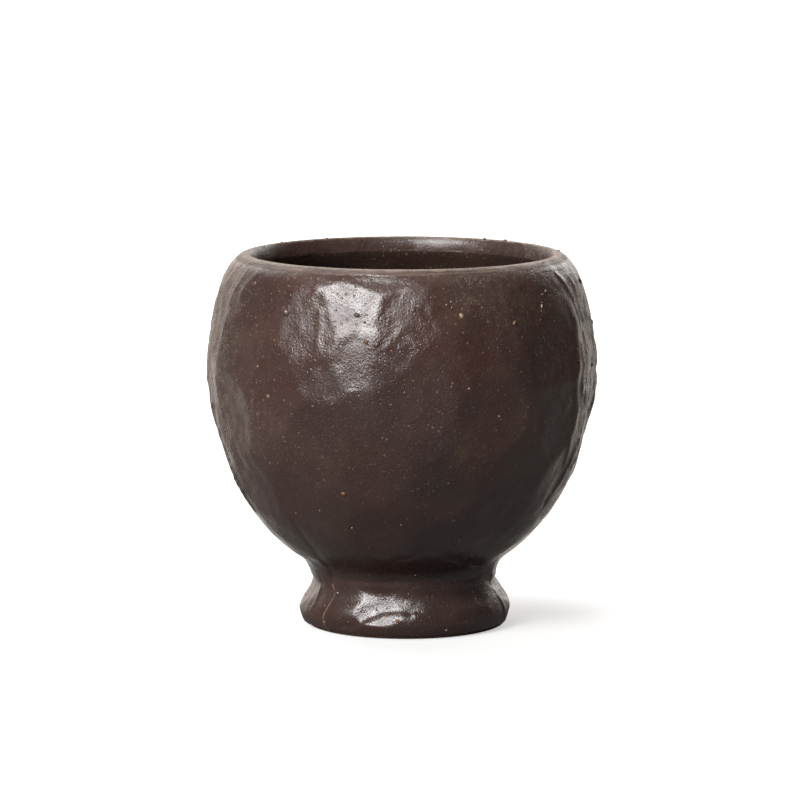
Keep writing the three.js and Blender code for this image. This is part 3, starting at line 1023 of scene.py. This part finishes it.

# %% [markdown]
# ## Pitted skin
#
# Gas leaves the glaze as pin-holes, and the glaze draws together in a fine orange-peel skin. Bare clay has the same
# skin, only deeper, and grog grains have a shallower one. Two noises make it, and a Voronoi pattern punches the
# holes. The holes also come out as a mask, by which the glaze and the grains are painted nearly black in them, as
# painted shade.

# %% The pitted skin group
pitting, taken, given, where = new_group("pitted_skin", ("Hole share",), ("Height", "Pin hole shade"))
fine, coarse = noise(pitting, where, 1800, 3, 0.65), noise(pitting, where, 620, 3)
cells = add_node(pitting, "ShaderNodeTexVoronoi", {"Vector": where, "Scale": 620})
holes = remap(pitting, cells.outputs["Distance"], 0.10, 0.22, 1, 0)
pitting.links.new(plus(pitting, plus(pitting, fine, holes, -0.6), coarse, 0.55), given["Height"])
# mask of the pin-holes, which the materials paint dark as painted shade
pitting.links.new(times(pitting, holes, taken["Hole share"]), given["Pin hole shade"])
print("group", pitting.name, "with", len(pitting.nodes), "nodes")

# %% [markdown]
# ## Specks, grog dust and painted glints
#
# Besides the grains that stand proud there are specks and dust, too fine to model. Two Voronoi patterns give big and
# small specks. Each cell's random colour says how big its speck is and how rusty. The dust is a fine noise. The glaze
# turns it into pale dust that is also painted glints, more of them higher up, where the light falls.

# %% The speck group
specking, taken, given, where = new_group("grog_specks", ("Speck share",), ("Specks", "Rust", "Dust and glints"))
specks = []
for scale, reach, soft in ((250, 0.045, 0.02), (900, 0.21, 0.05)):
    cells = add_node(specking, "ShaderNodeTexVoronoi", {"Vector": where, "Scale": scale}).outputs
    chance = add_node(specking, "ShaderNodeSeparateColor", {"Color": cells["Color"]}).outputs
    size = times(specking, times(specking, chance["Green"], chance["Green"]), -reach)
    specks.append(remap(specking, maths(specking, "ADD", cells["Distance"], size), 0.0, soft, 1, 0))
both = maths(specking, "MAXIMUM", specks[0], times(specking, specks[1], 0.65))
specking.links.new(times(specking, both, taken["Speck share"]), given["Specks"])
specking.links.new(chance["Red"], given["Rust"])
specking.links.new(remap(specking, noise(specking, where, 2900, 2, 0.7), 0.56, 0.72), given["Dust and glints"])
print("group", specking.name, "with", len(specking.nodes), "nodes")

# %% [markdown]
# ## Creased skin
#
# Dry glaze has fine upright folds, hair cracks and streaks, and the lip has lines from the sponge that wiped it. The
# line where a noise passes its middle value makes a thin wandering crack. Squeezing the coordinates makes marks long:
# upright ones on the wall, and ones that run round the lip.

# %% The creased skin group


def scaled(tree, where, by):
    return add_node(tree, "ShaderNodeVectorMath", {0: where, 1: by}, operation="MULTIPLY").outputs["Vector"]


def axis_distance(tree, where):
    flat = scaled(tree, where, (1, 1, 0))
    return add_node(tree, "ShaderNodeVectorMath", {0: flat}, operation="LENGTH").outputs["Value"]


creasing, _, given, where = new_group("creased_skin", (), ("Folds", "Cracks", "Streaks", "Wiping"))
upright = scaled(creasing, where, (1, 1, 0.5))
for mask, scale, width in (("Folds", 330, 0.18), ("Cracks", 210, 0.02)):
    off_middle = maths(creasing, "SUBTRACT", noise(creasing, upright, scale, 4, 0.6), 0.5)
    creasing.links.new(remap(creasing, maths(creasing, "ABSOLUTE", off_middle), 0.0, width, 1, 0), given[mask])
creasing.links.new(remap(creasing, noise(creasing, upright, 700, 3, 0.6), 0.38, 0.6), given["Streaks"])
inwards = add_node(creasing, "ShaderNodeCombineXYZ", {"Z": axis_distance(creasing, where)}).outputs["Vector"]
round_lip = {0: scaled(creasing, where, (0.05, 0.05, 1)), 1: inwards}
round_lip = add_node(creasing, "ShaderNodeVectorMath", round_lip, operation="SUBTRACT").outputs["Vector"]
creasing.links.new(remap(creasing, noise(creasing, round_lip, 1500, 2, 0.6), 0.35, 0.65), given["Wiping"])
print("group", creasing.name, "with", len(creasing.nodes), "nodes")

# %% [markdown]
# ## Dry glaze
#
# Where the painted attribute says that the glaze is thin, it is paler and rougher, and it breaks up in patches. In
# two patches the paler colour is a painted sheen. Only where it is really dry does it also fold and crack.

# %% Marks of dry glaze
CRAZED_FROM, CRAZED_TO = 0.42, 0.64  # painted values between which folds and cracks come in


def blend(tree, share, a, b):
    return add_node(tree, "ShaderNodeMix", {"Factor": share, "A": a, "B": b}, data_type="RGBA").outputs["Result"]


def dry_skin(tree, where, creases, dust_and_glint_mask, skin, thin_and_sheen, crack):
    """Takes a skin of colour, relief and roughness, and gives the same with dry glaze, and where that is."""
    colour, relief, rough = skin
    dry = add_node(tree, "ShaderNodeAttribute", attribute_name="dry").outputs["Fac"]
    patchy = times(tree, dry, remap(tree, noise(tree, where, 520, 4, 0.65), 0.38, 0.6, 0.3, 1.0))
    patchy = times(tree, patchy, remap(tree, creases["Streaks"], 0.0, 1.0, 0.5, 1.0))
    patchy = times(tree, patchy, remap(tree, dust_and_glint_mask, 0.0, 1.0, 0.7, 1.4))
    crazed = remap(tree, dry, CRAZED_FROM, CRAZED_TO, 0.0, 0.78)
    cracked = times(tree, creases["Cracks"], crazed)
    # paler where dry; in two patches this is a painted sheen
    colour = blend(tree, patchy, colour, thin_and_sheen)
    colour = blend(tree, times(tree, cracked, 0.7), colour, crack)
    relief = plus(tree, relief, cracked, -1.5)
    relief = plus(tree, relief, times(tree, creases["Folds"], crazed), 1.2)
    return (colour, relief, plus(tree, rough, patchy, 0.16)), patchy


print(f"{100 * np.mean(dryness_and_sheen > CRAZED_FROM):.0f} % of the coat's points are dry enough to fold and crack")

# %% [markdown]
# ## The wiped lip
#
# The lip was wiped before firing, so a band of it is paler and matt, with darker lines left by the sponge, and its
# crown is worn to the clay. The band is also made paler as painted light, for light falling on the top of the lip,
# and the crown's pale line is partly a painted highlight. The throat just inside stayed smooth. Heights and distances
# from the axis make the masks.
# Here the skin is also calmed towards the bottom, where the glaze ran thicker, but not on the foot.

# %% Marks of the lip, and a calmer skin below
# pale crown: worn clay, and also a painted highlight along the lip's edge
CROWN_WEAR_AND_HIGHLIGHT_COLOUR = (0.225, 0.165, 0.125, 1)
LIP_WANDER = 0.9 * MM  # how unevenly the wiping starts
LIP_BAND = (85.6 * MM, 86.1 * MM)


def wiped_lip(tree, where, up, creases, skin, wiped, left):
    """Takes a skin, and gives the same with its lip wiped, and where the smooth inner lip is."""
    colour, relief, rough = skin
    uneven = plus(tree, up, noise(tree, where, 420, 3), LIP_WANDER)
    radius = axis_distance(tree, where)
    outside = remap(tree, radius, 34.9 * MM, 35.6 * MM)
    band = times(tree, remap(tree, uneven, *LIP_BAND), outside)
    crown_wear_and_highlight = remap(tree, uneven, 86.5 * MM, 86.9 * MM)
    inner_lip = remap(tree, radius, 34.9 * MM, 35.4 * MM, 1, 0)
    inner_lip = times(tree, inner_lip, remap(tree, up, 80 * MM, 82 * MM))
    worn = remap(tree, noise(tree, where, 130, 3, 0.6), 0.35, 0.65, 0.15, 0.75)
    wiping = times(tree, creases["Wiping"], band)
    # paler wiped band: real wiping, and also made paler as painted light from above
    colour = blend(tree, times(tree, band, worn), colour, wiped)
    colour = blend(tree, times(tree, wiping, 0.55), colour, wiped)
    colour = blend(tree, times(tree, maths(tree, "SUBTRACT", band, wiping), 0.75), colour, left)
    grainy = remap(tree, noise(tree, where, 1100, 3), 0.35, 0.6, 0.4, 1.0)
    # wear and painted highlight on the crown
    colour = blend(tree, times(tree, crown_wear_and_highlight, grainy), colour, CROWN_WEAR_AND_HIGHLIGHT_COLOUR)
    relief = times(tree, relief, remap(tree, up, 84.5 * MM, 86 * MM, 1, 0.7))
    relief = plus(tree, plus(tree, relief, band, 0.35), wiping, 0.9)
    return (colour, relief, plus(tree, plus(tree, rough, band, 0.2), inner_lip, 0.05)), inner_lip


def calmer_below(tree, up, relief, patchy, inner_lip):
    wall = remap(tree, up, 26 * MM, 56 * MM, 0.55, 1.03)
    foot = remap(tree, up, 12.5 * MM, 19 * MM, 0.92, 0)
    relief = times(tree, relief, plus(tree, maths(tree, "MAXIMUM", wall, foot), patchy, 0.7))
    return times(tree, relief, remap(tree, inner_lip, 0.0, 1.0, 1.0, 0.6))


print(f"the lip is wiped from about {500 * (sum(LIP_BAND) - LIP_WANDER):.1f} mm upwards")

# %% [markdown]
# ## The glaze
#
# Now the layers go on as in the kiln: the brown with its mottling, dry skin (two patches of it also a painted sheen),
# the wiped lip (its pale band and crown partly painted light), painted shade that darkens the waist and the lower
# wall, and then dust with painted glints, specks, and pin-holes painted dark as shade. The roughness makes the satin
# gloss, and one Bump node at the end takes the whole relief. The liner is the same glaze, darker and without the
# outer marks.

# %% Helpers and colours of the glaze
GLOSS = 0.26
GLAZE_IOR = 1.6
# painted shade: a near-black brown laid in the waist crease and low on the wall
PAINTED_SHADE_COLOUR = (0.018, 0.012, 0.011, 1)
DUST_AND_GLINT_COLOUR = (0.20, 0.145, 0.128, 1)
PALE_GROG, RUSTY_GROG = (0.34, 0.27, 0.23, 1), (0.20, 0.10, 0.06, 1)
# painted shade: nearly black in the pin-holes
PIN_HOLE_SHADE_COLOUR = (0.012, 0.008, 0.007, 1)


def new_material(name):
    material = bpy.data.materials.new(name)
    material.use_nodes = True
    return material, material.node_tree, material.node_tree.nodes["Principled BSDF"]


def use_group(tree, group, **shares):
    """Places a group, with its own share for each of the group's inputs."""
    return add_node(tree, "ShaderNodeGroup", {f"{k} share": v for k, v in shares.items()}, node_tree=group).outputs


def lay_skin(tree, shader, skin, depth):
    colour, relief, rough = skin
    tree.links.new(colour, shader.inputs["Base Color"])
    tree.links.new(rough, shader.inputs["Roughness"])
    bump = add_node(tree, "ShaderNodeBump", {"Height": relief, "Distance": depth, "Strength": 1.0})
    tree.links.new(bump.outputs["Normal"], shader.inputs["Normal"])


# Painted shade: darkens the colour in the waist crease and towards the bottom of the wall, where less light falls.
def painted_shade_low(tree, where, up, colour):
    ragged = plus(tree, up, noise(tree, where, 260, 3), 2.2 * MM)
    waist_shade = remap(tree, up, 17 * MM, 23 * MM, 0.45, 0)
    waist_shade = times(tree, remap(tree, ragged, 13.9 * MM, 14.4 * MM), waist_shade)
    low = remap(tree, up, 30 * MM, 54 * MM, 0.22, 0)
    return blend(tree, maths(tree, "MAXIMUM", waist_shade, low), colour, PAINTED_SHADE_COLOUR)


print("glaze: roughness", round(GLOSS - 0.05, 2), "to", round(GLOSS + 0.08, 2), "before the dry marks")

# %% Glaze both coats


def glaze_material(name, chocolate, olive, plum, wiped=None, thin_and_sheen=None):
    """An iron glaze. With colours for the wiped lip and for dry glaze, both partly painted light, it is the outer
    coat's.
    """
    material, tree, shader = new_material(name)
    shader.inputs["IOR"].default_value = GLAZE_IOR
    where = add_node(tree, "ShaderNodeTexCoord").outputs["Object"]
    up = add_node(tree, "ShaderNodeSeparateXYZ", {"Vector": where}).outputs["Z"]
    # specks and painted glints show more higher up the wall
    specks_and_glints_showing = remap(tree, up, 28 * MM, 52 * MM, 0.3, 0.62)
    tones = use_group(tree, mottling, Olive=0.7, Plum=0.75)
    pits = use_group(tree, pitting, Hole=0.15)
    grog_marks = use_group(tree, specking, Speck=specks_and_glints_showing)
    colour = blend(tree, tones["Plum"], blend(tree, tones["Olive"], chocolate, olive), plum)
    relief = pits["Height"]
    rough = remap(tree, noise(tree, where, 180, 3), 0.3, 0.7, GLOSS - 0.05, GLOSS + 0.08)
    dust_and_glint_share = 0.25
    if wiped:
        creases = use_group(tree, creasing)
        skin, patchy = dry_skin(tree, where, creases, grog_marks["Dust and glints"], (colour, relief, rough), thin_and_sheen, plum)
        (colour, relief, rough), inner_lip = wiped_lip(tree, where, up, creases, skin, wiped, plum)
        relief = calmer_below(tree, up, relief, patchy, inner_lip)
        # painted shade at the waist and low on the wall
        colour = painted_shade_low(tree, where, up, colour)
        dust_and_glint_share = plus(tree, times(tree, specks_and_glints_showing, 0.62), patchy, 0.7)
    # pale grog dust, which is also painted glints
    colour = blend(tree, times(tree, grog_marks["Dust and glints"], dust_and_glint_share), colour, DUST_AND_GLINT_COLOUR)
    speck_colour = blend(tree, grog_marks["Rust"], PALE_GROG, RUSTY_GROG)
    colour = blend(tree, grog_marks["Specks"], colour, speck_colour)
    # painted shade in the pin-holes
    colour = blend(tree, pits["Pin hole shade"], colour, PIN_HOLE_SHADE_COLOUR)
    lay_skin(tree, shader, (colour, relief, rough), 0.1 * MM)
    return material


outer_glaze = glaze_material(
    "iron_glaze",
    chocolate=(0.0480, 0.0212, 0.0172, 1),
    olive=(0.060, 0.0345, 0.0250, 1),
    plum=(0.0345, 0.0186, 0.0172, 1),
    # lip band: paler wiping, and painted light from above
    wiped=(0.135, 0.085, 0.060, 1),
    thin_and_sheen=(0.135, 0.100, 0.074, 1),
)
inner_glaze = glaze_material(
    "liner_iron_glaze",
    chocolate=(0.036, 0.0187, 0.0143, 1),
    olive=(0.046, 0.0275, 0.0195, 1),
    plum=(0.026, 0.0165, 0.0145, 1),
)
outer_coat.data.materials.append(outer_glaze)
inner_coat.data.materials.append(inner_glaze)
print("glazes:", outer_glaze.name, "and", inner_glaze.name)

# %% [markdown]
# ## Bare clay and slip
#
# Fired clay without glaze is matt, warm brown and open-grained, with more of its grog showing. The slip is the same
# clay with water. In the seam it is rusty, because the glaze drew back from it. All four use one material function,
# each with its own light and dark colour.

# %% Clay and slip materials
CLAY_GROG = (0.30, 0.20, 0.14, 1)


def clay_material(name, light, dark):
    material, tree, shader = new_material(name)
    tones = use_group(tree, mottling, Olive=1.0, Plum=1.0)
    grog_marks = use_group(tree, specking, Speck=0.8)
    colour = blend(tree, grog_marks["Specks"], blend(tree, tones["Olive"], light, dark), CLAY_GROG)
    rough = remap(tree, tones["Plum"], 0, 1, 0.72, 0.9)
    lay_skin(tree, shader, (colour, use_group(tree, pitting, Hole=1.0)["Height"], rough), 0.26 * MM)
    return material


for piece, name, light, dark in (
    (bowl_body, "bowl_stoneware", (0.098, 0.045, 0.029, 1), (0.066, 0.033, 0.023, 1)),
    (foot_ring, "ring_stoneware", (0.092, 0.043, 0.028, 1), (0.058, 0.030, 0.022, 1)),
    (joint_slip, "joint_slip_wiped", (0.080, 0.038, 0.026, 1), (0.055, 0.028, 0.020, 1)),
    (seam_slip, "seam_slip_rust", (0.25, 0.122, 0.078, 1), (0.06, 0.031, 0.022, 1)),
):
    piece.data.materials.append(clay_material(name, light, dark))
    print(piece.name, "is", name)

# %% [markdown]
# ## Grains
#
# Each grain carries its own tone as an attribute, so that one material serves them all. A colour ramp turns the tone
# to dark, rust or cream. The dark ones lie under the glaze and shine, and the cream ones are dry.

# %% The grains' material
# painted shade: the pits of the grains are painted dark
GRAIN_PIT_SHADE_COLOUR = (0.03, 0.02, 0.016, 1)
material, tree, shader = new_material("grog_pebble")
tone = add_node(tree, "ShaderNodeAttribute", attribute_name="tone").outputs["Fac"]
ramp = add_node(tree, "ShaderNodeValToRGB", {"Fac": tone})
ramp.color_ramp.elements[0].color = (0.05, 0.03, 0.024, 1)
ramp.color_ramp.elements[1].color = (0.46, 0.36, 0.27, 1)
ramp.color_ramp.elements.new(0.55).color = (0.19, 0.088, 0.045, 1)
pits = use_group(tree, pitting, Hole=0.4)
colour = blend(tree, pits["Pin hole shade"], ramp.outputs["Color"], GRAIN_PIT_SHADE_COLOUR)
lay_skin(tree, shader, (colour, pits["Height"], remap(tree, tone, 0, 1, 0.3, 0.6)), 0.06 * MM)
grog.data.materials.append(material)
print(grog.name, "is", material.name)

# %% [markdown]
# ## The floor
#
# The cup stands on pale paper in a plain studio. To the camera the paper is lifted to white all round the cup, less
# so near the foot, so the soft shadow stays. Light Path's Is Glossy Ray lets the glaze reflect the paper that lies
# behind the cup. Under the hollow foot the paper glows a little, a painted light that lights the underside, and from
# below the floor is clear, so that the underside can be looked at.

# %% A sheet of paper
bpy.ops.object.select_all(action="DESELECT")
bpy.ops.mesh.primitive_plane_add(size=8, location=(0, 0, 0))
floor = bpy.context.object
floor.name = "studio_floor"
print(floor.name, "at", floor.location.z)

# %% How the paper is lifted
WARM_WHITE, WHITE = (1.0, 0.9, 0.81, 1), (1, 1, 1, 1)
PAPER_SEEN, PAPER_LIT = (0.45, 0.45, 0.45, 1), (0.14, 0.14, 0.14, 1)
SHADOW_MIDDLE = (0.016, -0.012, 0)


def distance(tree, where, middle=(0, 0, 0)):
    return add_node(tree, "ShaderNodeVectorMath", {0: where, 1: middle}, operation="DISTANCE").outputs["Value"]


def paper_lift(tree, ray):
    """How bright the paper is by itself: white to the camera, reflected behind the cup, glowing under the foot."""
    where = add_node(tree, "ShaderNodeTexCoord").outputs["Object"]
    aside = add_node(tree, "ShaderNodeSeparateXYZ", {"Vector": where}).outputs
    seen = remap(tree, distance(tree, where, SHADOW_MIDDLE), 0.026, 0.07, 0.53, 1.0)
    lift = times(tree, seen, ray["Is Camera Ray"])
    straight_back = maths(tree, "DIVIDE", aside["Y"], distance(tree, where))
    behind = remap(tree, straight_back, 0.4, 0.88, 0.0, 0.95)
    behind = maths(tree, "MULTIPLY_ADD", behind, remap(tree, aside["Y"], 0.0, 0.05), 0.06)
    lift = plus(tree, lift, behind, ray["Is Glossy Ray"])
    # painted light: the paper glows in a disc under the hollow foot and lights its underside
    glow_beneath = remap(tree, distance(tree, where, (FOOT_SET, 0, 0)), 0.0212, 0.0222, 1.0, 0.0)
    glow_beneath = times(tree, glow_beneath, remap(tree, aside["X"], -0.022, 0.022, 1.5, 0.1))
    return maths(tree, "ADD", lift, glow_beneath)


paper = bpy.data.materials.new("pale_paper")
paper.use_nodes = True
tree = paper.node_tree
tree.nodes.clear()
ray = add_node(tree, "ShaderNodeLightPath").outputs
tone = blend(tree, ray["Is Camera Ray"], PAPER_LIT, PAPER_SEEN)
diffuse = add_node(tree, "ShaderNodeBsdfDiffuse", {"Color": tone}).outputs["BSDF"]
glow = {"Color": blend(tree, ray["Is Camera Ray"], WARM_WHITE, WHITE), "Strength": paper_lift(tree, ray)}
glow = add_node(tree, "ShaderNodeEmission", glow).outputs["Emission"]
lit = add_node(tree, "ShaderNodeAddShader", {0: diffuse, 1: glow}).outputs["Shader"]
below = add_node(tree, "ShaderNodeNewGeometry").outputs["Backfacing"]
clear = add_node(tree, "ShaderNodeBsdfTransparent").outputs["BSDF"]
both = add_node(tree, "ShaderNodeMixShader", {"Fac": below, 1: lit, 2: clear}).outputs["Shader"]
add_node(tree, "ShaderNodeOutputMaterial", {"Surface": both})
floor.data.materials.append(paper)
print(paper.name, "with", len(tree.nodes), "nodes")

# %% [markdown]
# ## The room
#
# To the camera the room is white. What lights the cup is a white backdrop behind it, brighter to the left, a pale
# ceiling and a card at the far left. They give the pale limbs of the cup and its lit lip, and leave its front dark.

# %% World
world = bpy.data.worlds.new("white_studio")
bpy.context.scene.world = world
world.use_nodes = True
tree = world.node_tree
tree.nodes.clear()
where = add_node(tree, "ShaderNodeTexCoord").outputs["Generated"]
facing = add_node(tree, "ShaderNodeSeparateXYZ", {"Vector": where}).outputs
backdrop = remap(tree, facing["Y"], 0.42, 0.88, 0.12, 1.0)
backdrop = times(tree, backdrop, remap(tree, facing["X"], -0.9, 0.9, 1.2, 0.75))
backdrop = times(tree, backdrop, remap(tree, facing["Y"], 0.85, 0.97, 1.0, 1.7))
ceiling = remap(tree, facing["Z"], 0.45, 0.95, 0.0, 0.45)
side_card = remap(tree, facing["X"], -0.97, -0.8, 0.36, 0.0)
side_card = times(tree, side_card, remap(tree, facing["Y"], 0.0, 0.2))
room = maths(tree, "MAXIMUM", maths(tree, "MAXIMUM", backdrop, ceiling), side_card)
seen = add_node(tree, "ShaderNodeLightPath").outputs["Is Camera Ray"]
strength = {"Factor": seen, "A": room, "B": 1.0}
strength = add_node(tree, "ShaderNodeMix", strength, data_type="FLOAT").outputs["Result"]
sky = {"Color": blend(tree, seen, WARM_WHITE, WHITE), "Strength": strength}
sky = add_node(tree, "ShaderNodeBackground", sky).outputs["Background"]
add_node(tree, "ShaderNodeOutputWorld", {"Surface": sky})
print(world.name, "with", len(tree.nodes), "nodes")

# %% [markdown]
# ## Lamps
#
# One strong softbox at the front left makes the shine on the shoulder and on the foot. Two weaker ones stand behind
# the cup, left and right, and pick out its folded flanks. A softbox is an area light that is turned to the cup.

# %% Three softboxes
LAMP_AIM = Vector((0, 0, 0.05))
LAMP_DISTANCE = 1.0


def softbox(name, azimuth, elevation, size, watts):
    a, e = math.radians(azimuth), math.radians(elevation)
    away = Vector((math.sin(a) * math.cos(e), -math.cos(a) * math.cos(e), math.sin(e)))
    bpy.ops.object.light_add(type="AREA", location=LAMP_AIM + away * LAMP_DISTANCE)
    lamp = bpy.context.object
    lamp.name = name
    lamp.data.shape = "RECTANGLE"
    lamp.data.size = lamp.data.size_y = size
    lamp.data.energy = watts
    lamp.rotation_euler = (-away).to_track_quat("-Z", "Y").to_euler()
    print(name, watts, "W")


softbox("key_softbox", -33, 33, 0.46, 14.6)
softbox("back_softbox", -150, 40, 0.6, 2.5)
softbox("right_softbox", 153, 24, 0.5, 2.4)

# %% [markdown]
# ## Camera
#
# The camera stands about a metre away and looks down by 8 degrees, so the far lip shows above the near one. A long
# lens keeps the sides of the cup upright. The shift is under two pixels of the 800-pixel frame.

# %% Camera
FRAME_WIDTH = 800
LOOK_DOWN = 0.1388
bpy.ops.object.camera_add(location=(0, -1.1, 0.2058), rotation=(math.pi / 2 - LOOK_DOWN, 0, 0))
camera = bpy.context.object
camera.data.sensor_width = 36
camera.data.lens = 215.8
camera.data.shift_x = -1.75 / FRAME_WIDTH
camera.data.clip_start, camera.data.clip_end = 0.01, 50
bpy.context.scene.camera = camera
bpy.context.scene.view_settings.view_transform = "Standard"
print(f"camera {camera.location.length:.2f} m away, looking down {math.degrees(LOOK_DOWN):.1f} degrees")
